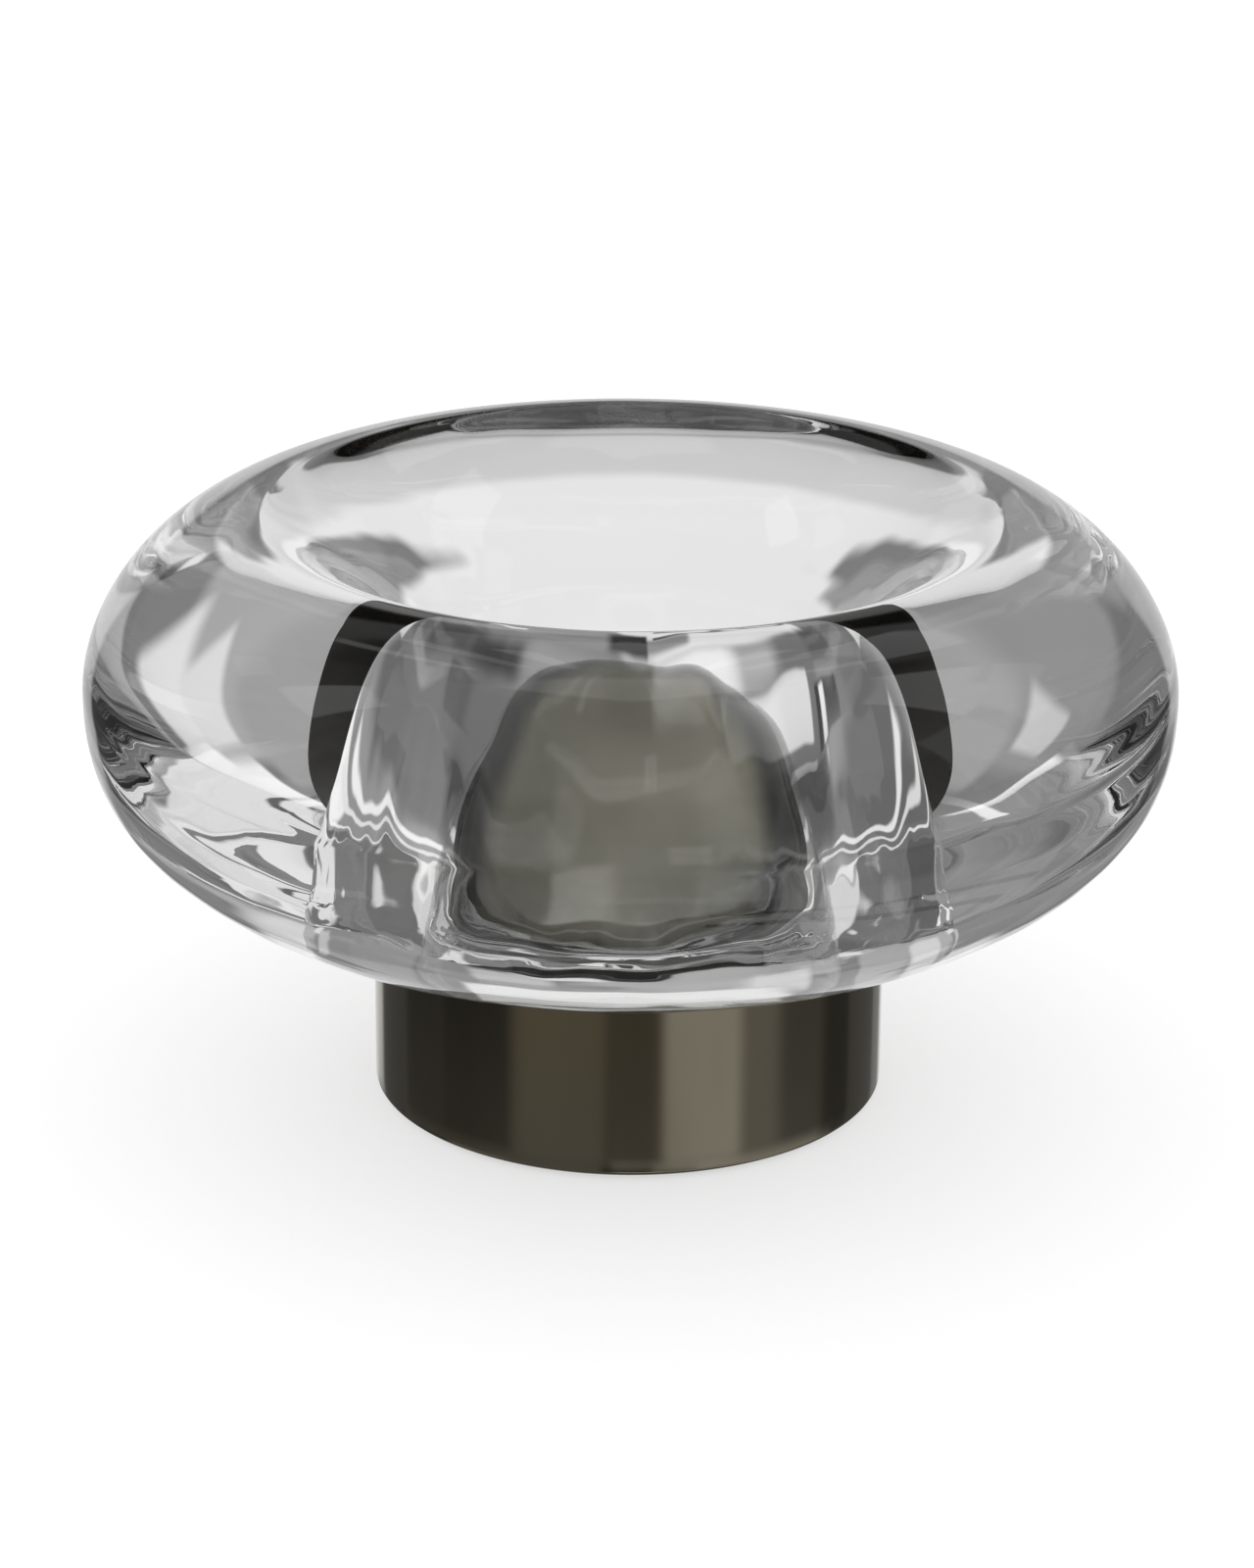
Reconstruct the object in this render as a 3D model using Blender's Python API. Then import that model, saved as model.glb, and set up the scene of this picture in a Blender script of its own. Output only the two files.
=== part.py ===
"""Votive candle holder: a thick ring of clear glass with a candle well, bonded on the spigot of a metal foot.

Metres, +Z up. The origin is the centre of the foot's rest face, on the table.
"""
import math

import bmesh
import bpy
from mathutils import Matrix, Vector

MM = 0.001

# Clearance between two pieces that rest on each other
GAP = 0.3 * MM

# Metal foot
SHELL_RADIUS = 28.5 * MM
SHELL_HEIGHT = 21.6 * MM
SHELL_WALL = 1.5 * MM
SHELL_TOP_THICKNESS = 2.0 * MM
SHELL_RIM_CHAMFER = 0.7 * MM
SHELL_TOP_CHAMFER = 0.3 * MM
SPIGOT_CHAMFER = 0.2 * MM

# Felt pad under the foot
FELT_THICKNESS = 1.6 * MM
FELT_STAND = 0.5 * MM

# Clear adhesive between foot and glass
BOND_THICKNESS = 0.4 * MM
BOND_INSET = 0.5 * MM

# Outside of the glass
GLASS_RADIUS = 60.0 * MM
BELLY_DROP = 27.4 * MM
BELLY_POWER = 2.49
CREST_RADIUS = 40.5 * MM
CROWN_RISE = 19.0 * MM
CROWN_POWER = 1.81

# Recess under the glass, which takes the foot's spigot
RECESS_RADIUS = 27.2 * MM
RECESS_DEPTH = 3.3 * MM

# Candle well in the glass
LIP_DROP = 16.7 * MM
LIP_POWER = 1.4
MOUTH_RADIUS = 22.4 * MM
WELL_RADIUS = 22.3 * MM
WELL_CORNER_HEIGHT = 10.5 * MM
WELL_CORNER_WIDTH = 1.8 * MM
WELL_CORNER_POWER = 2.35
WELL_FLOOR_THICKNESS = 1.8 * MM

# Stud and its fasteners
STUD_RADIUS = 2.5 * MM
STUD_FLANGE_RADIUS = 3.3 * MM
STUD_FLANGE_THICKNESS = 1.0 * MM
STUD_TIP_CHAMFER = 0.5 * MM
STUD_TIP_LENGTH = 1.2 * MM
WASHER_RADIUS = 5.0 * MM
WASHER_THICKNESS = 1.0 * MM
SPRING_WASHER_RADIUS = 4.4 * MM
SPRING_WASHER_THICKNESS = 1.2 * MM
SPRING_WASHER_SPLIT_DEG = 10.0
NUT_ACROSS_FLATS = 8.0 * MM
NUT_THICKNESS = 4.0 * MM
NUT_CHAMFER = 0.4 * MM

# Iron weight inside the foot
BALLAST_SIDE_CLEARANCE = 0.4 * MM
BALLAST_HOLE_CLEARANCE = 0.5 * MM
BALLAST_CHAMFER = 0.8 * MM
POCKET_SIDE_CLEARANCE = 0.6 * MM
POCKET_ROOM = 1.0 * MM

# Number of flat facets round each turned piece
GLASS_FACETS = 64
FOOT_FACETS = 64
FASTENER_FACETS = 32

# Heights above the table that follow from the sizes above
SHELL_RIM_Z = FELT_STAND
SHOULDER_Z = SHELL_RIM_Z + SHELL_HEIGHT
SHELL_CEILING_Z = SHOULDER_Z - SHELL_TOP_THICKNESS
GLASS_SEAT_Z = SHOULDER_Z + GAP
BOND_Z = GLASS_SEAT_Z + RECESS_DEPTH - GAP - BOND_THICKNESS
SPIGOT_TOP_Z = BOND_Z - GAP
BALLAST_BOTTOM_Z = FELT_THICKNESS + GAP
BALLAST_TOP_Z = SHELL_CEILING_Z - GAP
SHELL_BORE_RADIUS = SHELL_RADIUS - SHELL_WALL
SPIGOT_RADIUS = RECESS_RADIUS - GAP
BORE_RADIUS = STUD_RADIUS + GAP

# The stack on the stud, from its tip up to the pocket's ceiling
STUD_TIP_Z = BALLAST_BOTTOM_Z + POCKET_ROOM
NUT_Z = STUD_TIP_Z + STUD_TIP_LENGTH
SPRING_WASHER_Z = NUT_Z + NUT_THICKNESS + GAP
WASHER_Z = SPRING_WASHER_Z + SPRING_WASHER_THICKNESS + GAP
POCKET_CEILING_Z = WASHER_Z + WASHER_THICKNESS + GAP


def material(name, color, roughness, metallic=0.0, transmission=0.0, ior=1.5):
    made = bpy.data.materials.new(name)
    made.use_nodes = True
    shader = made.node_tree.nodes["Principled BSDF"]
    shader.inputs["Base Color"].default_value = (*color, 1.0)
    shader.inputs["Roughness"].default_value = roughness
    shader.inputs["Metallic"].default_value = metallic
    shader.inputs["Transmission Weight"].default_value = transmission
    shader.inputs["IOR"].default_value = ior
    return made


def finish(name, mesh_data, height, surface, smooth_angle=35.0):
    """Turns a bmesh into a named object that stands at a height on the common axis."""
    bmesh.ops.recalc_face_normals(mesh_data, faces=mesh_data.faces)
    mesh = bpy.data.meshes.new(name)
    mesh_data.to_mesh(mesh)
    mesh_data.free()
    mesh.shade_smooth()
    mesh.set_sharp_from_angle(angle=math.radians(smooth_angle))
    mesh.materials.append(surface)
    made = bpy.data.objects.new(name, mesh)
    made.location = (0.0, 0.0, height)
    made.parent = holder
    bpy.context.collection.objects.link(made)
    return made


def turned(name, profile, height, surface, facets):
    """Spins a profile of (radius, height) points about Z. It starts and ends on the axis, or closes on itself."""
    mesh_data = bmesh.new()
    points = [mesh_data.verts.new((radius, 0.0, z)) for radius, z in profile]
    edges = [mesh_data.edges.new(pair) for pair in zip(points, points[1:])]
    if profile[0][0] > 0.0:
        edges.append(mesh_data.edges.new((points[-1], points[0])))
    bmesh.ops.spin(
        mesh_data,
        geom=points + edges,
        axis=(0.0, 0.0, 1.0),
        cent=(0.0, 0.0, 0.0),
        angle=math.tau,
        steps=facets,
        use_merge=True,
    )
    bmesh.ops.remove_doubles(mesh_data, verts=mesh_data.verts, dist=0.001 * MM)
    return finish(name, mesh_data, height, surface)


def curve_quarter(centre, half_width, half_height, power, start_deg, end_deg, steps):
    """Points along a superellipse, from one angle to another, both ends included."""
    points = []
    for step in range(steps + 1):
        angle = math.radians(start_deg + (end_deg - start_deg) * step / steps)
        across = math.copysign(abs(math.cos(angle)) ** (2.0 / power), math.cos(angle))
        up = math.copysign(abs(math.sin(angle)) ** (2.0 / power), math.sin(angle))
        points.append((centre[0] + half_width * across, centre[1] + half_height * up))
    return points


def glass_profile():
    """Half section of the glass above its seat: recess, belly, crown, lip, and the well's wall, corner and floor."""
    seat_share = SHELL_RADIUS / GLASS_RADIUS
    widest_z = BELLY_DROP * (1.0 - seat_share ** BELLY_POWER) ** (1.0 / BELLY_POWER)
    crest_z = widest_z + CROWN_RISE
    floor_z = RECESS_DEPTH + WELL_FLOOR_THICKNESS
    seat_deg = math.degrees(math.acos(seat_share ** (BELLY_POWER / 2.0)))
    belly = curve_quarter((0.0, widest_z), GLASS_RADIUS, BELLY_DROP, BELLY_POWER, -seat_deg, 0.0, 16)
    belly[0] = (SHELL_RADIUS, 0.0)
    crown = curve_quarter(
        (CREST_RADIUS, widest_z), GLASS_RADIUS - CREST_RADIUS, CROWN_RISE, CROWN_POWER, 0.0, 90.0, 12
    )
    lip = curve_quarter(
        (CREST_RADIUS, crest_z - LIP_DROP), CREST_RADIUS - MOUTH_RADIUS, LIP_DROP, LIP_POWER, 90.0, 180.0, 12
    )
    corner = curve_quarter(
        (WELL_RADIUS - WELL_CORNER_WIDTH, floor_z + WELL_CORNER_HEIGHT),
        WELL_CORNER_WIDTH, WELL_CORNER_HEIGHT, WELL_CORNER_POWER, 0.0, -90.0, 6,
    )
    recess = [(0.0, RECESS_DEPTH), (RECESS_RADIUS, RECESS_DEPTH), (RECESS_RADIUS, 0.0)]
    return recess + belly + crown[1:] + lip[1:] + corner + [(0.0, floor_z)]


def shell_profile():
    """Half section of the foot's cap above its rim: open below, with the spigot on its top."""
    ceiling = SHELL_HEIGHT - SHELL_TOP_THICKNESS
    spigot_top = SPIGOT_TOP_Z - SHELL_RIM_Z
    return [
        (0.0, spigot_top),
        (SPIGOT_RADIUS - SPIGOT_CHAMFER, spigot_top),
        (SPIGOT_RADIUS, spigot_top - SPIGOT_CHAMFER),
        (SPIGOT_RADIUS, SHELL_HEIGHT),
        (SHELL_RADIUS - SHELL_TOP_CHAMFER, SHELL_HEIGHT),
        (SHELL_RADIUS, SHELL_HEIGHT - SHELL_TOP_CHAMFER),
        (SHELL_RADIUS, SHELL_RIM_CHAMFER),
        (SHELL_RADIUS - SHELL_RIM_CHAMFER, 0.0),
        (SHELL_BORE_RADIUS, 0.0),
        (SHELL_BORE_RADIUS, ceiling),
        (0.0, ceiling),
    ]


def disc_profile(radius, thickness, chamfer=0.0):
    if chamfer == 0.0:
        return [(0.0, 0.0), (radius, 0.0), (radius, thickness), (0.0, thickness)]
    return [
        (0.0, 0.0),
        (radius - chamfer, 0.0),
        (radius, chamfer),
        (radius, thickness - chamfer),
        (radius - chamfer, thickness),
        (0.0, thickness),
    ]


def ballast_profile():
    """Half section of the weight: a pocket for the nut below, a hole for the stud, a recess for its flange."""
    radius = SHELL_BORE_RADIUS - BALLAST_SIDE_CLEARANCE
    height = BALLAST_TOP_Z - BALLAST_BOTTOM_Z
    hole = STUD_RADIUS + BALLAST_HOLE_CLEARANCE
    pocket = WASHER_RADIUS + POCKET_SIDE_CLEARANCE
    pocket_ceiling = POCKET_CEILING_Z - BALLAST_BOTTOM_Z
    recess = STUD_FLANGE_RADIUS + GAP
    recess_floor = height - STUD_FLANGE_THICKNESS - GAP
    return [
        (pocket, 0.0),
        (radius - BALLAST_CHAMFER, 0.0),
        (radius, BALLAST_CHAMFER),
        (radius, height - BALLAST_CHAMFER),
        (radius - BALLAST_CHAMFER, height),
        (recess, height),
        (recess, recess_floor),
        (hole, recess_floor),
        (hole, pocket_ceiling),
        (pocket, pocket_ceiling),
    ]


def stud_profile():
    """Half section of the stud above its tip, with the welding flange at its top."""
    length = BALLAST_TOP_Z - STUD_TIP_Z
    return [
        (0.0, 0.0),
        (STUD_RADIUS - STUD_TIP_CHAMFER, 0.0),
        (STUD_RADIUS, STUD_TIP_CHAMFER),
        (STUD_RADIUS, length - STUD_FLANGE_THICKNESS),
        (STUD_FLANGE_RADIUS, length - STUD_FLANGE_THICKNESS),
        (STUD_FLANGE_RADIUS, length),
        (0.0, length),
    ]


def ring_profile(outer_radius, thickness):
    return [(BORE_RADIUS, 0.0), (outer_radius, 0.0), (outer_radius, thickness), (BORE_RADIUS, thickness)]


def split_ring(name, outer_radius, thickness, split_deg, height, surface, facets):
    """A flattened spring washer: a square section swept round the stud, with a slit closed at both ends."""
    mesh_data = bmesh.new()
    points = [mesh_data.verts.new((radius, 0.0, z)) for radius, z in ring_profile(outer_radius, thickness)]
    edges = [mesh_data.edges.new(pair) for pair in zip(points, points[1:] + points[:1])]
    bmesh.ops.spin(
        mesh_data,
        geom=points + edges,
        axis=(0.0, 0.0, 1.0),
        cent=(0.0, 0.0, 0.0),
        angle=math.tau - math.radians(split_deg),
        steps=facets,
    )
    bmesh.ops.holes_fill(mesh_data, edges=mesh_data.edges, sides=len(points))
    return finish(name, mesh_data, height, surface)


def hexagon_nut(name, height, surface):
    """A hexagon prism cut to a chamfered blank that already has the bore."""
    blank_radius = NUT_ACROSS_FLATS / math.sqrt(3.0)
    blank = turned(
        name + "_blank",
        [
            (BORE_RADIUS, 0.0),
            (blank_radius - NUT_CHAMFER, 0.0),
            (blank_radius, NUT_CHAMFER),
            (blank_radius, NUT_THICKNESS - NUT_CHAMFER),
            (blank_radius - NUT_CHAMFER, NUT_THICKNESS),
            (BORE_RADIUS, NUT_THICKNESS),
        ],
        height,
        surface,
        FASTENER_FACETS,
    )
    blank.hide_render = True
    blank.display_type = "WIRE"
    mesh_data = bmesh.new()
    bmesh.ops.create_cone(
        mesh_data,
        cap_ends=True,
        segments=6,
        radius1=blank_radius,
        radius2=blank_radius,
        depth=NUT_THICKNESS + 2.0 * NUT_CHAMFER,
        matrix=Matrix.Translation(Vector((0.0, 0.0, NUT_THICKNESS / 2.0))),
    )
    nut = finish(name, mesh_data, height, surface)
    trim = nut.modifiers.new("chamfer_and_bore", "BOOLEAN")
    trim.operation = "INTERSECT"
    trim.solver = "EXACT"
    trim.object = blank
    return nut


for old in list(bpy.data.objects):
    bpy.data.objects.remove(old)

holder = bpy.data.objects.new("candle_holder", None)
bpy.context.collection.objects.link(holder)

clear_glass = material("clear_glass", (1.0, 1.0, 1.0), 0.0, transmission=1.0, ior=1.52)
clear_adhesive = material("clear_adhesive", (0.96, 0.97, 0.95), 0.05, transmission=1.0, ior=1.5)
dark_bronze = material("dark_bronze", (0.30, 0.26, 0.19), 0.06, metallic=1.0)
cast_iron = material("cast_iron", (0.11, 0.11, 0.12), 0.7, metallic=0.8)
zinc_plated_steel = material("zinc_plated_steel", (0.62, 0.63, 0.64), 0.3, metallic=1.0)
black_felt = material("black_felt", (0.03, 0.03, 0.03), 0.95)

turned("glass_body", glass_profile(), GLASS_SEAT_Z, clear_glass, GLASS_FACETS)
turned("bond_layer", disc_profile(SPIGOT_RADIUS - BOND_INSET, BOND_THICKNESS), BOND_Z, clear_adhesive, FOOT_FACETS)
turned("base_shell", shell_profile(), SHELL_RIM_Z, dark_bronze, FOOT_FACETS)
turned("felt_pad", disc_profile(SHELL_BORE_RADIUS - GAP, FELT_THICKNESS), 0.0, black_felt, FOOT_FACETS)
turned("ballast_disc", ballast_profile(), BALLAST_BOTTOM_Z, cast_iron, FOOT_FACETS)
turned("center_stud", stud_profile(), STUD_TIP_Z, zinc_plated_steel, FASTENER_FACETS)
turned("flat_washer", ring_profile(WASHER_RADIUS, WASHER_THICKNESS), WASHER_Z, zinc_plated_steel, FASTENER_FACETS)
split_ring(
    "spring_washer",
    SPRING_WASHER_RADIUS,
    SPRING_WASHER_THICKNESS,
    SPRING_WASHER_SPLIT_DEG,
    SPRING_WASHER_Z,
    zinc_plated_steel,
    FASTENER_FACETS,
)
hexagon_nut("hex_nut", NUT_Z, zinc_plated_steel)
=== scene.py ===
"""Votive candle holder: a thick clear glass bowl with a blind well, on a dark bronze foot."""
import math

import bmesh
import bpy
from bpy.props import FloatProperty, FloatVectorProperty, IntProperty, PointerProperty
from bpy.types import Operator, Panel, PropertyGroup
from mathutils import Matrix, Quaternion, Vector


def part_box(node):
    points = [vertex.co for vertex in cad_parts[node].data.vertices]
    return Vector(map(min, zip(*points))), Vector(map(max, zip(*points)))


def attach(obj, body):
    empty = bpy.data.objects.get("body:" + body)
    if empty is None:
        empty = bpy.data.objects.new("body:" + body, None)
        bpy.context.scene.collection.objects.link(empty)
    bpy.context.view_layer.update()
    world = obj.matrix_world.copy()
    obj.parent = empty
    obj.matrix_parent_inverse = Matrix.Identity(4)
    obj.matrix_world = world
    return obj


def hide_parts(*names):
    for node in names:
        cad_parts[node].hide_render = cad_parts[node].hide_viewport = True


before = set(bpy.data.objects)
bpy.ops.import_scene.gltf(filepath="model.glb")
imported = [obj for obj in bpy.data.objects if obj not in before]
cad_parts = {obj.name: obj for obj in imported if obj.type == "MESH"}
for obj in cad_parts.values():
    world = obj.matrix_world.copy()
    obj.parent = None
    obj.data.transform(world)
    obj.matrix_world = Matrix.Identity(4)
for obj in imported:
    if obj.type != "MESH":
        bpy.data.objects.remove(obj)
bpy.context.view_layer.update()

bl_info = {
    "name": "Votive candle holder",
    "version": (1, 0, 0),
    "blender": (4, 5, 0),
    "location": "View3D > Sidebar > Candle Holder",
    "description": "Builds a thick glass votive candle holder on a dark bronze foot",
    "category": "Add Mesh",
}

BODY = "root"
MM = 0.001

SHARP_ANGLE = math.radians(32)
WELD = 1e-6


# Node trees

class Wire:
    """One socket of a node tree. Arithmetic on it adds Math nodes."""

    def __init__(self, board, socket):
        self.board = board
        self.socket = socket

    def _with(self, operation, first, second):
        return self.board.node("ShaderNodeMath", {"operation": operation}, {0: first, 1: second})

    def __add__(self, other):
        return self._with("ADD", self, other)

    __radd__ = __add__

    def __mul__(self, other):
        return self._with("MULTIPLY", self, other)

    __rmul__ = __mul__

    def __sub__(self, other):
        return self._with("SUBTRACT", self, other)

    def __rsub__(self, other):
        return self._with("SUBTRACT", other, self)

    def __truediv__(self, other):
        return self._with("DIVIDE", self, other)

    def __rtruediv__(self, other):
        return self._with("DIVIDE", other, self)

    def __abs__(self):
        return self.board.node("ShaderNodeMath", {"operation": "ABSOLUTE"}, {0: self})


class Board:
    """A node tree that is filled one node at a time."""

    def __init__(self, tree):
        self.tree = tree
        tree.nodes.clear()

    def node(self, kind, settings=None, values=None, out=0):
        """Adds a node, makes its settings, then sets or links its sockets.

        Returns the output asked for, by its number or its name.
        """
        made = self.tree.nodes.new(kind)
        for name, value in (settings or {}).items():
            if name == "stops":
                ramp = made.color_ramp
                while len(ramp.elements) < len(value):
                    ramp.elements.new(1.0)
                for element, (position, colour) in zip(ramp.elements, value):
                    element.position = position
                    element.color = (*colour, 1.0)
            else:
                setattr(made, name, value)
        for name, value in (values or {}).items():
            socket = made.inputs[name]
            if isinstance(value, Wire):
                self.tree.links.new(value.socket, socket)
            elif isinstance(value, (tuple, list)) and socket.type == "RGBA":
                socket.default_value = (*value[:3], 1.0)
            else:
                socket.default_value = value
        return Wire(self, made.outputs[out]) if made.outputs else None

    def math(self, operation, first, second=0.0):
        """A Math node other than the four sums."""
        return self.node("ShaderNodeMath", {"operation": operation}, {0: first, 1: second})

    def split(self, vector):
        """The three parts of a vector."""
        made = self.node("ShaderNodeSeparateXYZ", None, {0: vector}).socket.node
        return [Wire(self, made.outputs[i]) for i in range(3)]

    def noise(self, vector, scale, detail=2.0, rough=0.5):
        """Noise from 0 to 1, with scale in features a metre."""
        values = {"Vector": vector, "Scale": scale, "Detail": detail, "Roughness": rough}
        return self.node("ShaderNodeTexNoise", None, values)

    def stretch(self, vector, factors):
        """The vector with each part multiplied by its factor."""
        return self.node("ShaderNodeVectorMath", {"operation": "MULTIPLY"}, {0: vector, 1: factors})

    def band(self, value, low, high, start=0.0, end=1.0):
        """A smooth step from start to end as value goes from low to high."""
        values = {"Value": value, "From Min": low, "From Max": high, "To Min": start, "To Max": end}
        return self.node("ShaderNodeMapRange", {"interpolation_type": "SMOOTHSTEP"}, values)

    def mix(self, factor, first, second):
        """A colour between two colours."""
        return self.node("ShaderNodeMix", {"data_type": "RGBA"}, {0: factor, 6: first, 7: second}, 2)

    def blend(self, factor, first, second):
        """A number between two numbers."""
        return self.node("ShaderNodeMix", {"data_type": "FLOAT"}, {0: factor, 2: first, 3: second})


class Finish(Board):
    """A material with one Principled shader, whose constant sockets are set straight away."""

    def __init__(self, name, **constants):
        self.material = bpy.data.materials.new(name)
        self.material.use_nodes = True
        super().__init__(self.material.node_tree)
        self.shader = self.tree.nodes.new("ShaderNodeBsdfPrincipled")
        self.output = self.tree.nodes.new("ShaderNodeOutputMaterial")
        self.tree.links.new(self.shader.outputs[0], self.output.inputs[0])
        for socket, value in constants.items():
            self.shader.inputs[socket.replace("_", " ")].default_value = value
        self.place = self.node("ShaderNodeTexCoord", out="Object")

    def paint(self, socket, wire):
        """Links a varying value to a socket of the shader."""
        self.tree.links.new(wire.socket, self.shader.inputs[socket])

    def relief(self, height, distance, strength=1.0):
        """Links a height, in units of distance, to the shader's normal."""
        values = {"Strength": strength, "Distance": distance, "Height": height}
        self.paint("Normal", self.node("ShaderNodeBump", None, values))

    def one_sided(self):
        """Makes the surface clear from behind."""
        back = self.node("ShaderNodeNewGeometry").socket.node.outputs["Backfacing"]
        front, clear = Wire(self, self.shader.outputs[0]), self.node("ShaderNodeBsdfTransparent")
        both = self.node("ShaderNodeMixShader", None, {0: Wire(self, back), 1: front, 2: clear})
        self.tree.links.new(both.socket, self.output.inputs[0])

    def parts(self):
        """Radius from the turning axis, and height, as wires."""
        flat = self.stretch(self.place, (1.0, 1.0, 0.0))
        radius = self.node("ShaderNodeVectorMath", {"operation": "LENGTH"}, {0: flat}, "Value")
        return radius, self.split(self.place)[2]


# Settings

def length(name, description, millimetres):
    """A length property, given in millimetres."""
    return FloatProperty(name=name, description=description, default=millimetres * MM,
                         min=0.0, precision=5, unit="LENGTH")


def colour(name, description, value):
    """A colour property."""
    return FloatVectorProperty(name=name, description=description, default=value,
                               size=3, min=0.0, max=1.0, subtype="COLOR")


class GlassSettings(PropertyGroup):
    """Shape and tint of the glass bowl."""
    facets: IntProperty(name="Facets", description="Facets round the bowl", default=288, min=24)
    belly_power: FloatProperty(name="Belly fullness", description="Power of the belly's curve", default=2.49)
    crown_power: FloatProperty(name="Crown fullness", description="Power of the crown's curve", default=1.81)
    belly_drop: length("Belly drop", "From the widest point down to the belly's end", 27.4)
    crest_radius: length("Crest radius", "Radius of the highest ring", 40.5)
    crown_rise: length("Crown rise", "From the widest point up to the crest", 19.0)
    lip_drop: length("Lip drop", "From the crest down to the well's wall", 16.7)
    lip_power: FloatProperty(name="Lip fullness", description="Power of the lip's curve", default=1.4)
    mouth_radius: length("Mouth radius", "Radius of the well under its lip", 22.4)
    well_radius: length("Well radius", "Radius of the well above its corner", 22.3)
    corner_height: length("Corner height", "Height of the well's rounded corner", 10.5)
    corner_width: length("Corner width", "Width of the well's rounded corner", 1.8)
    corner_power: FloatProperty(name="Corner fullness", description="Power of the corner's curve",
                                default=2.35)
    well_floor: length("Well floor", "Glass between the recess and the well", 1.8)
    recess_depth: length("Recess depth", "Depth of the recess under the bowl", 3.3)
    recess_radius: length("Recess radius", "Radius of the recess under the bowl", 27.2)
    ripple_depth: length("Ripple depth", "How far the pressed glass is uneven", 0.42)
    ripple_size: length("Ripple size", "Width of one ripple", 10.0)
    ripple_stretch: FloatProperty(name="Ripple stretch", description="Height of a ripple by its width",
                                  default=1.3)
    streak_depth: length("Streak depth", "How deep the flow lines in the belly are", 0.14)
    streak_size: length("Streak size", "Length of one flow line", 34.0)
    streak_stretch: FloatProperty(name="Streak stretch", description="Height of a flow line by its length",
                                  default=0.1)
    seed: IntProperty(name="Seed", description="Which ripples", default=4)
    tint: colour("Tint", "Colour of thick glass", (0.985, 0.99, 0.985))


class FootSettings(PropertyGroup):
    """Shape and finish of the bronze foot."""
    facets: IntProperty(name="Facets", description="Facets round the foot", default=256, min=24)
    wall: length("Wall", "Thickness of the shell's wall", 1.5)
    top: length("Top", "Thickness of the shell's top", 2.0)
    rim_edge: length("Rim edge", "Rounding at the foot's lower edge", 0.7)
    top_edge: length("Top edge", "Rounding at the foot's upper edge", 0.3)
    joint: length("Joint", "Thickness of the bond line between foot and bowl", 0.3)
    bronze: colour("Bronze", "Polished dark bronze", (0.226, 0.203, 0.154))
    patina: colour("Patina", "Darker bronze in the patina", (0.198, 0.176, 0.130))
    # The bonded face carries a painted reflection: the bonded colour is a bright painted reflection in the
    # middle, fading to painted shade in the next colour between the two radii below.
    bonded: colour("Bonded bronze", "Bronze under the clear bond", (0.375, 0.355, 0.275))
    bonded_painted_shade: colour("Bonded edge", "Dark bronze round the bonded face", (0.020, 0.017, 0.013))
    reflection_fade_radius: length("Polished radius", "Where the bonded face starts to darken", 15.5)
    dark_radius: length("Dark radius", "Where the bonded face is darkest", 19.5)
    felt: colour("Felt", "Black felt under the foot", (0.012, 0.012, 0.013))


class HardwareSettings(PropertyGroup):
    """Shape and finish of the weight and fasteners in the foot."""
    hole_radius: length("Stud hole", "Radius of the weight's hole for the stud", 3.0)
    recess_radius: length("Recess radius", "Radius of the weight's recess for the stud's flange", 3.6)
    recess_depth: length("Recess depth", "Depth of the weight's recess for the stud's flange", 1.3)
    pocket_radius: length("Pocket radius", "Radius of the weight's pocket for the nut", 5.6)
    pocket_top: length("Pocket top", "Height of the pocket's ceiling above the table", 11.2)
    casting_round: length("Casting edge", "Rounding of the weight's edges", 0.8)
    sand_depth: length("Sand depth", "How far the casting is uneven", 0.04)
    sand_size: length("Sand size", "Width of one hollow in the casting", 2.5)
    across_flats: length("Across flats", "Width of the nut", 8.0)
    nut_edge: length("Nut edge", "Chamfer on the nut", 0.4)
    thread_clearance: length("Thread clearance", "Gap between stud and nut", 0.3)
    ring_gap: FloatProperty(name="Ring gap", description="Opening of the split lock washer",
                            default=math.radians(12.0), subtype="ANGLE")
    ring_rise: length("Ring rise", "Rise of the lock washer along its turn", 0.12)
    facets: IntProperty(name="Facets", description="Facets round the fasteners", default=96, min=24)
    pitch: length("Thread pitch", "Rise of one turn of the stud's thread", 0.8)
    thread_depth: length("Thread depth", "From crest to root of the thread", 0.45)
    iron: colour("Cast iron", "Bare cast iron", (0.060, 0.058, 0.056))
    zinc: colour("Zinc plating", "Zinc plated steel", (0.62, 0.64, 0.66))


class StudioSettings(PropertyGroup):
    """Camera and studio round the holder."""
    target_height: length("Target height", "Height that the camera looks at", 35.08)
    distance: length("Camera distance", "From the camera to the target", 543.5)
    elevation: FloatProperty(name="Elevation", description="Camera's angle above the table",
                             default=math.radians(21.0), subtype="ANGLE")
    roll: FloatProperty(name="Roll", description="Camera's turn about its own axis",
                        default=math.radians(0.43), subtype="ANGLE")
    focal: FloatProperty(name="Focal length", description="Lens in millimetres", default=112.5)
    shift: FloatProperty(name="Shift", description="Sideways lens shift", default=-3.0 / 1600.0)
    floor: colour("Floor", "Pale table top", (0.50, 0.50, 0.50))


def settings(name):
    """The scene's settings of that name."""
    return getattr(bpy.context.scene, name)


# Turned pieces

def superellipse(centre, across, up, power, start, end, count):
    """Points of a quarter of a superellipse, from angle start to angle end in degrees."""
    points = []
    for step in range(count + 1):
        angle = math.radians(start + (end - start) * step / count)
        cosine, sine = math.cos(angle), math.sin(angle)
        points.append((
            centre[0] + across * math.copysign(abs(cosine) ** (2.0 / power), cosine),
            centre[1] + up * math.copysign(abs(sine) ** (2.0 / power), sine),
        ))
    return points


def arc(centre, radius, start, end, count=8):
    """Points of a circular arc, from angle start to angle end in degrees."""
    return superellipse(centre, radius, radius, 2.0, start, end, count)


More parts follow.
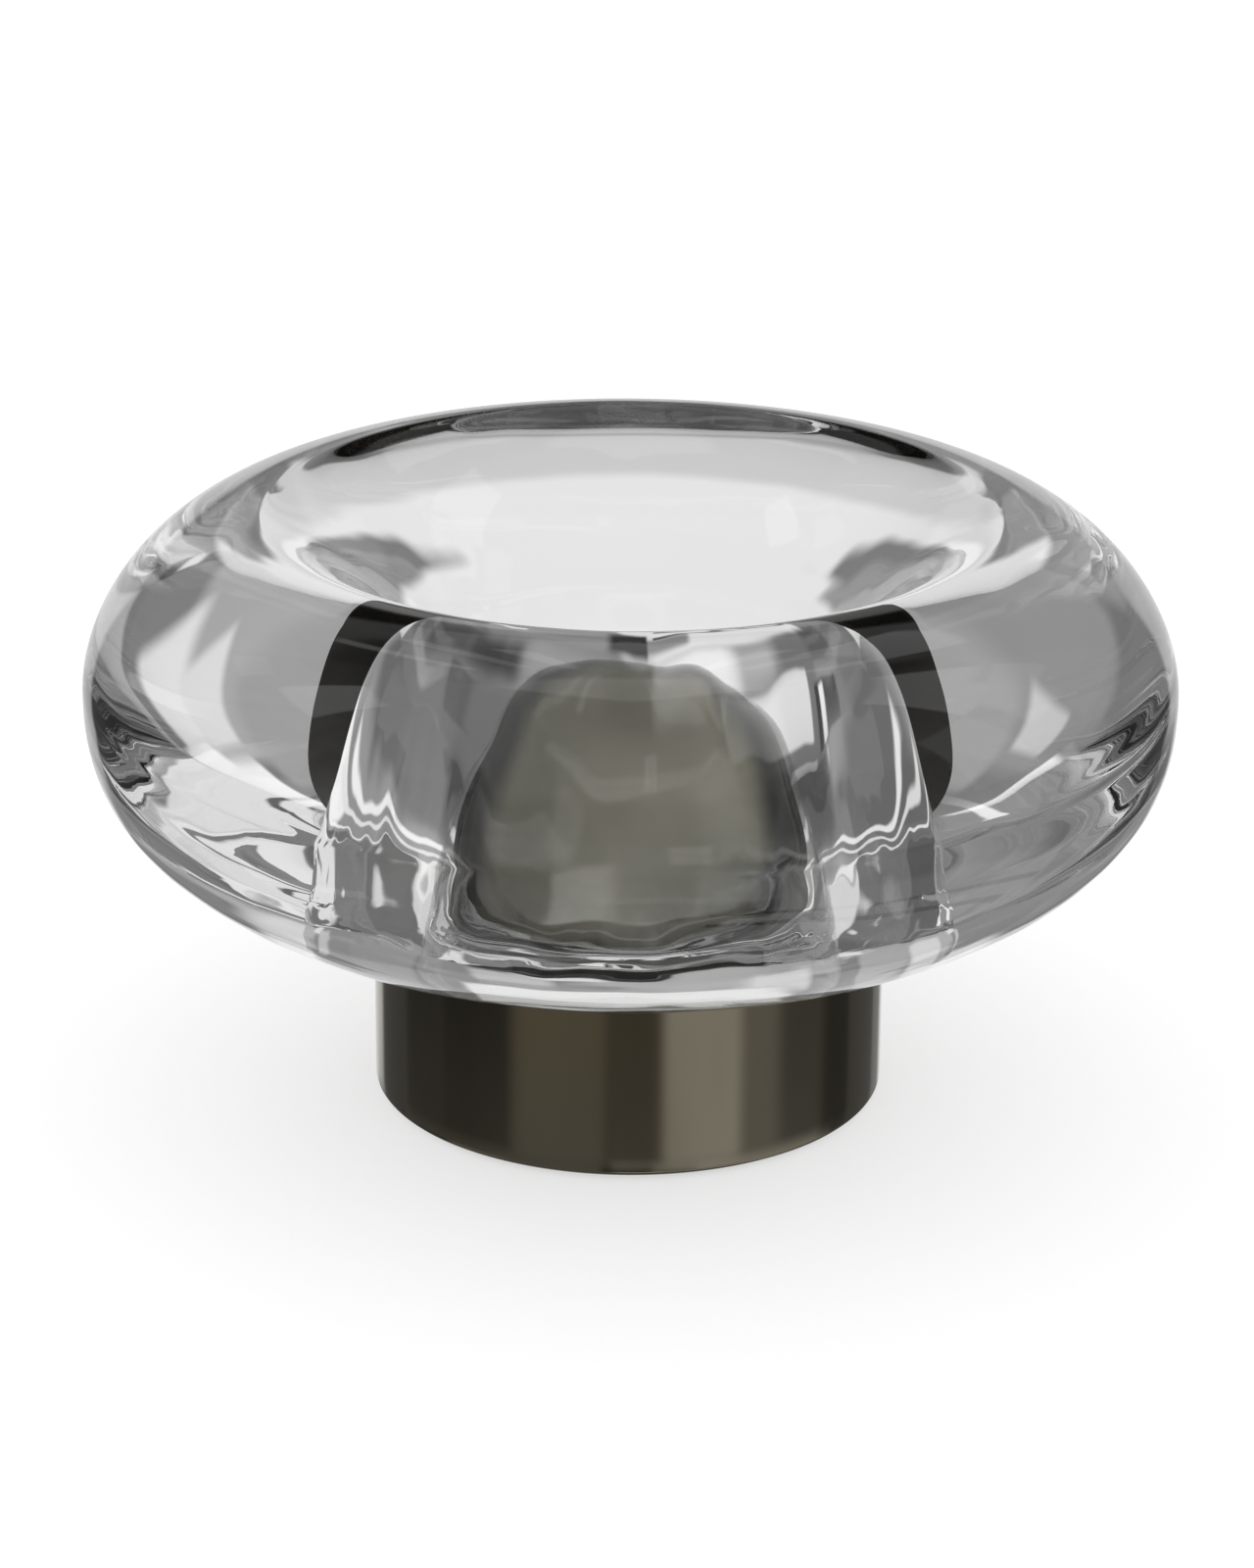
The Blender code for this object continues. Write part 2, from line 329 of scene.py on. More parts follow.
def evenly(start, end, count):
    """Points on a straight line after start, up to and with end."""
    return [(start[0] + (end[0] - start[0]) * i / count, start[1] + (end[1] - start[1]) * i / count)
            for i in range(1, count + 1)]


def eased(corners, radius, count=3):
    """The corners of an open profile, each rounded by that radius; the two ends stay."""
    # A rounding takes less than half of an edge, so that two of them never meet.
    most = 0.45
    points = [corners[0]]
    for before, corner, after in zip(corners, corners[1:], corners[2:]):
        sides = [Vector(before) - Vector(corner), Vector(after) - Vector(corner)]
        start, end = (Vector(corner) + side.normalized() * min(radius, side.length * most) for side in sides)
        for i in range(count + 1):
            share = i / count
            bend = start.lerp(Vector(corner), share).lerp(Vector(corner).lerp(end, share), share)
            points.append(tuple(bend))
    return points + [corners[-1]]


TURNING_INPUTS = (
    ("Profile", "NodeSocketGeometry"),
    ("Facets", "NodeSocketInt"),
    ("Ripple depth", "NodeSocketFloat"),
    ("Ripple size", "NodeSocketFloat"),
    ("Ripple stretch", "NodeSocketFloat"),
    ("Streak depth", "NodeSocketFloat"),
    ("Streak size", "NodeSocketFloat"),
    ("Streak stretch", "NodeSocketFloat"),
    ("Seed", "NodeSocketInt"),
    ("Thread depth", "NodeSocketFloat"),
    ("Thread pitch", "NodeSocketFloat"),
    ("Across flats", "NodeSocketFloat"),
    ("Finish", "NodeSocketMaterial"),
)


def new_tree(name, inputs):
    """An empty tree with those inputs and one piece as its output, as a board and a wire for each input."""
    tree = bpy.data.node_groups.new(name, "GeometryNodeTree")
    for label, kind in inputs:
        tree.interface.new_socket(label, in_out="INPUT", socket_type=kind)
    tree.interface.new_socket("Piece", in_out="OUTPUT", socket_type="NodeSocketGeometry")
    board = Board(tree)
    given = tree.nodes.new("NodeGroupInput")
    return board, [Wire(board, given.outputs[i]) for i in range(len(inputs))]


def close_tree(board, piece, finish):
    """Makes the piece real, gives it its finish and sends it out."""
    real = board.node("GeometryNodeRealizeInstances", None, {"Geometry": piece})
    done = board.node("GeometryNodeSetMaterial", None, {"Geometry": real, "Material": finish})
    output = board.tree.nodes.new("NodeGroupOutput")
    board.tree.links.new(done.socket, output.inputs[0])


def turning_tree():
    """Turns an open profile round the upright axis, and threads, flattens or ripples it where asked."""
    board, wires = new_tree("turned piece", TURNING_INPUTS)
    given = dict(zip((label for label, _ in TURNING_INPUTS), wires))
    profile, facets = given["Profile"], given["Facets"]
    rows = board.node("GeometryNodeAttributeDomainSize", {"component": "MESH"}, {"Geometry": profile})
    sheet = board.node("GeometryNodeMeshGrid", None, {"Vertices X": facets + 1, "Vertices Y": rows})
    index = board.node("GeometryNodeInputIndex")
    column = board.math("FLOOR", (index + 0.5) / rows)
    row = index - column * rows

    def from_row(kind, value):
        """The profile's value at this row."""
        return board.node("GeometryNodeSampleIndex", {"data_type": kind, "domain": "POINT"},
                          {"Geometry": profile, "Value": value, "Index": row})

    def named(label):
        """The stored number of that name."""
        return board.node("GeometryNodeInputNamedAttribute", {"data_type": "FLOAT"}, {"Name": label})

    spot = board.node("GeometryNodeInputPosition")
    radius, _, height = board.split(from_row("FLOAT_VECTOR", spot))
    turn = column / facets
    tooth = board.math("FRACT", height / given["Thread pitch"] - turn)
    groove = abs(tooth * 2.0 - 1.0) * given["Thread depth"]
    threaded = radius - groove * from_row("FLOAT", named("threaded"))
    sides = 6.0
    side = board.math("FRACT", turn * sides) - 0.5
    flank = given["Across flats"] / 2.0 / board.math("COSINE", side * (math.tau / sides))
    sized = board.math("MINIMUM", threaded, flank)
    angle = turn * math.tau
    turned_spot = board.node("ShaderNodeCombineXYZ", None, {
        0: sized * board.math("COSINE", angle), 1: sized * board.math("SINE", angle), 2: height})
    made = board.node("GeometryNodeSetPosition", None, {"Geometry": sheet, "Position": turned_spot})
    for label in ("rippled", "streaked"):
        made = board.node("GeometryNodeStoreNamedAttribute", {"data_type": "FLOAT", "domain": "POINT"},
                          {"Geometry": made, "Name": label, "Value": from_row("FLOAT", named(label))})
    welded = board.node("GeometryNodeMergeByDistance", None, {"Geometry": made, "Distance": WELD})

    def uneven(kind, label, turn_of_seed):
        """How far the surface is out of true, by noise of that kind."""
        upright = 1.0 / given[kind + " stretch"]
        flow = board.node("ShaderNodeCombineXYZ", None, {0: 1.0, 1: 1.0, 2: upright})
        place = board.node("ShaderNodeVectorMath", {"operation": "MULTIPLY"}, {0: spot, 1: flow})
        noise = board.node("ShaderNodeTexNoise", {"noise_dimensions": "4D"}, {
            "Vector": place, "W": given["Seed"] + turn_of_seed, "Scale": 1.0 / given[kind + " size"],
            "Detail": 1.0, "Roughness": 0.4})
        return (noise - 0.5) * 2.0 * given[kind + " depth"] * named(label)

    amount = uneven("Ripple", "rippled", 0.0) + uneven("Streak", "streaked", 7.0)
    normal = board.node("GeometryNodeInputNormal")
    offset = board.node("ShaderNodeVectorMath", {"operation": "SCALE"}, {0: normal, "Scale": amount})
    finished = board.node("GeometryNodeSetPosition", None, {"Geometry": welded, "Offset": offset})
    close_tree(board, finished, given["Finish"])
    return board.tree


def coil_tree():
    """Bends a square bar into one open, slightly rising turn."""
    board, (radius, section, height, rise, gap, facets, finish) = new_tree("split ring", (
        ("Radius", "NodeSocketFloat"), ("Section", "NodeSocketFloat"), ("Height", "NodeSocketFloat"),
        ("Rise", "NodeSocketFloat"), ("Gap", "NodeSocketFloat"), ("Facets", "NodeSocketInt"),
        ("Finish", "NodeSocketMaterial")))
    # The bar's height and the rounding of its edges, as shares of its width.
    flatness, rounding = 0.9, 0.12
    path = board.node("GeometryNodeCurveSpiral", None, {
        "Resolution": facets, "Rotations": 1.0 - gap / math.tau, "Start Radius": radius,
        "End Radius": radius, "Height": rise})
    level = board.node("GeometryNodeSetCurveNormal", {"mode": "Z_UP"}, {0: path})
    bar = board.node("GeometryNodeCurvePrimitiveQuadrilateral", None, {
        "Width": section, "Height": section * flatness})
    rounded = board.node("GeometryNodeFilletCurve", {"mode": "POLY"}, {
        "Curve": bar, "Radius": section * rounding, "Count": 3})
    ring = board.node("GeometryNodeCurveToMesh", None, {
        "Curve": level, "Profile Curve": rounded, "Fill Caps": True})
    lift = board.node("ShaderNodeCombineXYZ", None, {2: height})
    placed = board.node("GeometryNodeTransform", None, {"Geometry": ring, "Translation": lift})
    close_tree(board, placed, finish)
    return board.tree


def applied(piece, tree, inputs):
    """Runs a tree on the piece once and leaves the result as a plain mesh."""
    modifier = piece.modifiers.new("build", "NODES")
    modifier.node_group = tree
    for item in tree.interface.items_tree:
        if item.in_out == "INPUT" and item.name in inputs:
            modifier[item.identifier] = inputs[item.name]
    graph = bpy.context.evaluated_depsgraph_get()
    mesh = bpy.data.meshes.new_from_object(piece.evaluated_get(graph), depsgraph=graph)
    mesh.materials.clear()
    mesh.materials.append(inputs["Finish"])
    piece.modifiers.remove(modifier)
    old = piece.data
    piece.data = mesh
    bpy.data.meshes.remove(old)


def outward(mesh):
    """Welds the mesh, points its faces outwards and smooths all but its sharp edges."""
    work = bmesh.new()
    work.from_mesh(mesh)
    bmesh.ops.remove_doubles(work, verts=work.verts, dist=WELD)
    bmesh.ops.dissolve_degenerate(work, edges=work.edges, dist=WELD)
    bmesh.ops.recalc_face_normals(work, faces=work.faces)
    work.to_mesh(mesh)
    work.free()
    mesh.shade_smooth()
    mesh.set_sharp_from_angle(angle=SHARP_ANGLE)


def turned(name, profile, facets, finish, weights=None, **inputs):
    """A piece turned from an open profile of (radius, height) points.

    Weights say, point by point, how much the piece is rippled, streaked or threaded there.
    """
    mesh = bpy.data.meshes.new(name)
    mesh.from_pydata([(radius, 0.0, height) for radius, height in profile],
                     [(i, i + 1) for i in range(len(profile) - 1)], [])
    for label in ("rippled", "streaked", "threaded"):
        stored = mesh.attributes.new(label, "FLOAT", "POINT")
        stored.data.foreach_set("value", (weights or {}).get(label, [0.0] * len(profile)))
    piece = bpy.data.objects.new(name, mesh)
    bpy.context.scene.collection.objects.link(piece)
    tree = bpy.data.node_groups.get("turned piece") or turning_tree()
    plain = {"Facets": facets, "Ripple depth": 0.0, "Ripple size": 0.01, "Ripple stretch": 1.0,
             "Streak depth": 0.0, "Streak size": 0.01, "Streak stretch": 1.0, "Seed": 0,
             "Thread depth": 0.0, "Thread pitch": 0.001, "Across flats": 1.0, "Finish": finish}
    applied(piece, tree, plain | {label.replace("_", " "): value for label, value in inputs.items()})
    outward(piece.data)
    return piece


def run_out(count, ends):
    """Weights of a thread that starts and ends gently, over that many points at each end."""
    return [min(1.0, i / ends, (count - 1 - i) / ends) for i in range(count)]


def stand_in(piece, node):
    """The piece rides on the one body and stands for a CAD node."""
    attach(piece, BODY)
    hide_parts(node)


# Finishes

def clear_glass(tint):
    """Thick clear glass, with the faintest cords of colour and a fire-polished skin."""
    finish = Finish("clear glass", IOR=1.52, Transmission_Weight=1.0, Roughness=0.0)
    cords = finish.noise(finish.stretch(finish.place, (1.0, 1.0, 2.5)), 30.0, 2.0)
    paler = tuple(min(1.0, part + 0.01) for part in tint)
    finish.paint("Base Color", finish.mix(finish.band(cords, 0.3, 0.7), tint, paler))
    finish.relief(finish.noise(finish.place, 90.0, 1.0), 0.02 * MM)
    return finish.material


def bonded_bronze(bright, dark, polished, edge):
    """The foot's top as it shows through the bond, with a painted reflection: bright in the middle, fading
    to painted shade towards its edge.
    """
    finish = Finish("bonded bronze", Metallic=1.0)
    radius, _ = finish.parts()
    clouds = finish.noise(finish.place, 60.0, 3.0)
    middle = finish.mix(finish.band(clouds, 0.3, 0.7), bright, tuple(part * 0.9 for part in bright))
    wander = 0.6 * MM
    # Painted reflection fading to painted shade: the colour goes from the bright middle to the dark colour
    # between the radii polished and edge.
    darker = finish.band(radius + wander * clouds, polished, edge)
    finish.paint("Base Color", finish.mix(darker, middle, dark))
    finish.paint("Roughness", finish.band(clouds, 0.2, 0.8, 0.20, 0.26))
    return finish.material


def dark_bronze(bronze, patina):
    """Polished dark bronze with faint turning marks and a thin patina."""
    finish = Finish("dark bronze", Metallic=1.0, Roughness=0.12)
    radius, height = finish.parts()
    clouds = finish.noise(finish.stretch(finish.place, (1.0, 1.0, 0.4)), 70.0, 3.0)
    finish.paint("Base Color", finish.mix(finish.band(clouds, 0.3, 0.7), bronze, patina))
    rings = finish.node("ShaderNodeCombineXYZ", None, {0: radius, 1: 0.0, 2: height})
    marks = finish.noise(rings, 6000.0, 2.0)
    finish.paint("Roughness", 0.09 + 0.05 * marks)
    finish.relief(marks, 0.002 * MM, 0.4)
    return finish.material


def clear_adhesive():
    """Clear bonding adhesive with a faint haze."""
    finish = Finish("clear adhesive", IOR=1.5, Transmission_Weight=1.0, Roughness=0.02)
    haze = finish.noise(finish.place, 300.0, 2.0)
    finish.paint("Base Color", finish.mix(haze, (0.93, 0.92, 0.88), (0.98, 0.98, 0.96)))
    finish.relief(haze, 0.02 * MM)
    return finish.material


def black_felt(tone):
    """Pressed wool felt: matted short fibres."""
    finish = Finish("black felt", Roughness=1.0, Sheen_Weight=0.1, Sheen_Roughness=0.6)
    warp = finish.noise(finish.place, 900.0, 3.0)
    fibres = finish.noise(finish.stretch(finish.place, (1.0, 3.0, 1.0)), 2600.0, 4.0, 0.7)
    lighter = tuple(part * 3.0 for part in tone)
    finish.paint("Base Color", finish.mix(fibres * warp * 1.6, tone, lighter))
    finish.relief(fibres + warp, 0.12 * MM)
    return finish.material


def cast_iron(tone):
    """Bare sand-cast iron."""
    finish = Finish("cast iron", Metallic=0.85)
    sand = finish.noise(finish.place, 1400.0, 4.0, 0.65)
    blotch = finish.noise(finish.place, 120.0, 2.0)
    rusty = (tone[0] * 1.7 + 0.01, tone[1] * 1.2, tone[2] * 0.9)
    finish.paint("Base Color", finish.mix(finish.band(blotch, 0.45, 0.75), tone, rusty))
    finish.paint("Roughness", 0.5 + 0.3 * sand)
    finish.relief(sand, 0.12 * MM)
    return finish.material


def zinc_plate(tone):
    """Bright zinc plating over steel."""
    finish = Finish("zinc plate", Metallic=1.0)
    cells = {"Vector": finish.place, "Scale": 900.0}
    spangle = finish.node("ShaderNodeTexVoronoi", None, cells, "Color")
    grey = finish.node("ShaderNodeRGBToBW", None, {0: spangle})
    bluer = (tone[0] * 0.86, tone[1] * 0.9, tone[2] * 0.97)
    finish.paint("Base Color", finish.mix(grey, tone, bluer))
    finish.paint("Roughness", 0.24 + 0.14 * grey)
    finish.relief(finish.noise(finish.place, 4000.0, 2.0), 0.006 * MM)
    return finish.material


# Operators

class CANDLE_OT_glass_bowl(Operator):
    """Turns the thick glass bowl with its blind candle well"""
    bl_idname = "candle.glass_bowl"
    bl_label = "Glass bowl"

    def execute(self, context):
        glass, foot = settings("glass"), settings("foot")
        low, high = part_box("glass_body")
        seat, crest, widest_radius = low[2], high[2], high[0]
        seat_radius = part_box("base_shell")[1][0]
        widest = crest - glass.crown_rise
        belly_steps, crown_steps, lip_steps, wall_steps, floor_steps = 64, 48, 40, 20, 8
        roof_steps, side_steps = 4, 3
        rim_angle = math.degrees(math.acos((seat_radius / widest_radius) ** (glass.belly_power / 2.0)))
        belly = superellipse((0.0, widest), widest_radius, glass.belly_drop, glass.belly_power,
                             -rim_angle, 0.0, belly_steps)
        crown = superellipse((glass.crest_radius, widest), widest_radius - glass.crest_radius,
                             glass.crown_rise, glass.crown_power, 0.0, 90.0, crown_steps)
        across = glass.crest_radius - glass.mouth_radius
        lip = superellipse((glass.crest_radius, crest - glass.lip_drop), across, glass.lip_drop,
                           glass.lip_power, 90.0, 180.0, lip_steps)
        recess = seat + glass.recess_depth
        floor = recess + glass.well_floor
        corner = superellipse((glass.well_radius - glass.corner_width, floor + glass.corner_height),
                              glass.corner_width, glass.corner_height, glass.corner_power,
                              0.0, -90.0, wall_steps)
        wall = evenly(lip[-1], corner[0], wall_steps)[:-1]
        flat = evenly(corner[-1], (0.0, floor), floor_steps)
        socket = [(0.0, recess)] + evenly((0.0, recess), (glass.recess_radius, recess), roof_steps)
        socket += evenly(socket[-1], (glass.recess_radius, seat), side_steps)
        belly[0] = (seat_radius, seat)
        profile = socket + belly + crown[1:] + lip[1:] + wall + corner + flat
        # The belly ripples less than the well, and not at all at its two ends.
        belly_share = 0.4
        swell = [math.sin(math.pi * i / belly_steps) for i in range(belly_steps + 1)]
        inner = [i / lip_steps for i in range(1, lip_steps + 1)] + [1.0] * (len(wall) + len(corner))
        inner += [1.0 - i / floor_steps for i in range(1, floor_steps + 1)]
        rippled = [0.0] * len(socket) + [share * belly_share for share in swell]
        rippled += [0.0] * crown_steps + inner
        streaked = [0.0] * len(socket) + swell + [0.0] * (crown_steps + len(inner))
        finish = clear_glass(tuple(glass.tint))
        weights = {"rippled": rippled, "streaked": streaked}
        piece = turned("glass_bowl", profile, glass.facets, finish, weights,
                       Ripple_depth=glass.ripple_depth, Ripple_size=glass.ripple_size,
                       Ripple_stretch=glass.ripple_stretch, Streak_depth=glass.streak_depth,
                       Streak_size=glass.streak_size, Streak_stretch=glass.streak_stretch, Seed=glass.seed)
        # The seat faces under the bowl show the foot's top with a painted reflection fading to painted
        # shade.
        piece.data.materials.append(bonded_bronze(tuple(foot.bonded), tuple(foot.bonded_painted_shade),
                                                  foot.reflection_fade_radius, foot.dark_radius))
        for face in piece.data.polygons:
            if face.center.z < recess + WELD and face.center.xy.length < seat_radius:
                face.material_index = 1
        stand_in(piece, "glass_body")
        return {"FINISHED"}


class CANDLE_OT_bond(Operator):
    """Turns the thin film of clear adhesive between bowl and foot"""
    bl_idname = "candle.bond"
    bl_label = "Bond film"

    def execute(self, context):
        glass, foot = settings("glass"), settings("foot")
        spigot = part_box("base_shell")[1][2]
        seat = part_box("glass_body")[0][2]
        recess = seat + glass.recess_depth
        skin, waist, steps = 0.03 * MM, 0.1 * MM, 8
        radius = glass.recess_radius - skin
        low, high = spigot + skin, recess - skin
        edge = [(radius - waist * math.sin(math.pi * i / steps), low + (high - low) * i / steps)
                for i in range(steps + 1)]
        profile = [(0.0, low)] + edge + [(0.0, high)]
        piece = turned("bond_film", profile, foot.facets, clear_adhesive())
        stand_in(piece, "bond_layer")
        return {"FINISHED"}


class CANDLE_OT_foot_shell(Operator):
    """Turns the polished bronze shell of the foot"""
    bl_idname = "candle.foot_shell"
    bl_label = "Foot shell"

    def execute(self, context):
        glass, foot = settings("glass"), settings("foot")
        low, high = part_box("base_shell")
        radius, rim, spigot_top = high[0], low[2], high[2]
        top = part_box("glass_body")[0][2] - foot.joint
        slack, inside, lap, nose = 0.3 * MM, 0.6 * MM, 0.25 * MM, 0.2 * MM
        spigot = glass.recess_radius - slack
        bore, ceiling = radius - foot.wall, top - foot.top
        big, small, wall_steps = foot.rim_edge, foot.top_edge, 12
        upright = top - small - rim - big
        profile = [(0.0, ceiling)]
        profile += arc((bore - inside, ceiling - inside), inside, 90.0, 0.0, 8)
        profile += arc((bore + lap, rim + lap), lap, 180.0, 270.0, 6)
        profile += arc((radius - big, rim + big), big, 270.0, 360.0, 10)
        profile += [(radius, rim + big + upright * i / wall_steps) for i in range(1, wall_steps)]
        profile += arc((radius - small, top - small), small, 0.0, 90.0, 8)
        profile += [(spigot, top)]
        profile += arc((spigot - nose, spigot_top - nose), nose, 0.0, 90.0, 6)
        profile += [(0.0, spigot_top)]
        finish = dark_bronze(tuple(foot.bronze), tuple(foot.patina))
        piece = turned("foot_shell", profile, foot.facets, finish)
        stand_in(piece, "base_shell")
        return {"FINISHED"}


class CANDLE_OT_felt_disc(Operator):
    """Turns the felt disc under the foot"""
    bl_idname = "candle.felt_disc"
    bl_label = "Felt disc"

    def execute(self, context):
        foot = settings("foot")
        low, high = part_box("felt_pad")
        radius, bottom, top, cut = high[0], low[2], high[2], 0.25 * MM
        rings = 24
        profile = [(0.0, bottom)] + evenly((0.0, bottom), (radius - cut, bottom), rings)
        profile += arc((radius - cut, bottom + cut), cut, -90.0, 0.0, 5)[1:]
        profile += arc((radius - cut, top - cut), cut, 0.0, 90.0, 5)
        profile += evenly(profile[-1], (0.0, top), rings)
        piece = turned("felt_disc", profile, foot.facets, black_felt(tuple(foot.felt)))
        stand_in(piece, "felt_pad")
        return {"FINISHED"}


class CANDLE_OT_ballast(Operator):
    """Turns the cast weight in the foot"""
    bl_idname = "candle.ballast"
    bl_label = "Cast weight"

    def execute(self, context):
        hardware = settings("hardware")
        low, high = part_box("ballast_disc")
        sand, edge = hardware.sand_depth, hardware.casting_round
        radius, bottom, top = high[0], low[2] + sand, high[2] - sand
        hole, pocket, pocket_top = hardware.hole_radius, hardware.pocket_radius, hardware.pocket_top
        recess, recess_floor = hardware.recess_radius, top - hardware.recess_depth
        halfway = (bottom + pocket_top) / 2.0
        corners = [(pocket, halfway), (pocket, bottom), (radius, bottom), (radius, top), (recess, top),
                   (recess, recess_floor), (hole, recess_floor), (hole, pocket_top),
                   (pocket, pocket_top), (pocket, halfway)]
        profile = eased(corners, edge, 4)
        longest, facets = 1.2 * MM, 160
        dense = [profile[0]]
        for point in profile[1:]:
            steps = max(1, int((Vector(point) - Vector(dense[-1])).length / longest))
            dense += evenly(dense[-1], point, steps)
        uneven = [1.0 if hole + edge < r < radius - edge else 0.0 for r, _ in dense]
        piece = turned("cast_weight", dense, facets, cast_iron(tuple(hardware.iron)), {"rippled": uneven},
                       Ripple_depth=sand, Ripple_size=hardware.sand_size, Seed=2)
        stand_in(piece, "ballast_disc")
        return {"FINISHED"}


class CANDLE_OT_fasteners(Operator):
    """Makes the threaded stud, the nut and both washers"""
    bl_idname = "candle.fasteners"
    bl_label = "Fasteners"

    def execute(self, context):
        hardware = settings("hardware")
        zinc = zinc_plate(tuple(hardware.zinc))
        pitch, depth, facets = hardware.pitch, hardware.thread_depth, hardware.facets
        low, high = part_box("center_stud")
        flange, tip, top = high[0], low[2], high[2]
        # The shank is half as wide as the flat washer.
        shank_share = 0.5
        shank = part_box("flat_washer")[1][0] * shank_share
        flange_height, end, plain = 1.0 * MM, 0.5 * MM, 0.8 * MM
        neck = top - flange_height
        per_turn, nut_ends = 12, 8
        side = evenly((shank, tip + end), (shank, neck - plain), int((neck - tip) / pitch * per_turn))
        profile = [(0.0, tip), (shank - end, tip), (shank, tip + end)] + side
        profile += [(shank, neck), (flange, neck), (flange, top), (0.0, top)]
        threaded = [0.0, 0.0] + run_out(len(side) + 1, per_turn) + [0.0] * 4
        stud = turned("threaded_stud", profile, facets, zinc, {"threaded": threaded},
                      Thread_depth=depth, Thread_pitch=pitch)
        stand_in(stud, "center_stud")

        low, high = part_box("hex_nut")
        bore, bottom, top = shank + hardware.thread_clearance, low[2], high[2]
        flats, edge = hardware.across_flats, hardware.nut_edge
        face_share = 0.48
        corner, face, lead = flats / math.sqrt(3.0), flats * face_share, edge / 2.0
        profile = [(bore, bottom + lead), (bore + lead, bottom), (face, bottom), (corner, bottom + edge),
                   (corner, top - edge), (face, top), (bore + lead, top), (bore, top - lead)]
        outer = len(profile)
        profile += evenly(profile[-1], profile[0], int((top - bottom) / pitch * per_turn))
        threaded = [0.0] * outer + run_out(len(profile) - outer, nut_ends)
        nut = turned("hexagon_nut", profile, facets, zinc, {"threaded": threaded},
                     Thread_depth=depth, Thread_pitch=pitch, Across_flats=flats)
        stand_in(nut, "hex_nut")

        low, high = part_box("flat_washer")
        halfway, washer_edge = (low[2] + high[2]) / 2.0, 0.2 * MM
        corners = [(bore, halfway), (bore, low[2]), (high[0], low[2]), (high[0], high[2]), (bore, high[2]),
                   (bore, halfway)]
        washer = turned("plain_washer", eased(corners, washer_edge), facets, zinc)
        stand_in(washer, "flat_washer")

        low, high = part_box("spring_washer")
        # The bar stays a little smaller than the room it has.
        section, fill = high[0] - bore, 0.98
        height = high[2] - low[2] - hardware.ring_rise
        ring = bpy.data.objects.new("lock_washer", bpy.data.meshes.new("lock_washer"))
        context.scene.collection.objects.link(ring)
        applied(ring, coil_tree(), {
            "Radius": bore + section / 2.0, "Section": min(section, height) * fill,
            "Rise": hardware.ring_rise, "Height": low[2] + height / 2.0, "Gap": hardware.ring_gap,
            "Facets": facets, "Finish": zinc})
        outward(ring.data)
        stand_in(ring, "spring_washer")
        return {"FINISHED"}


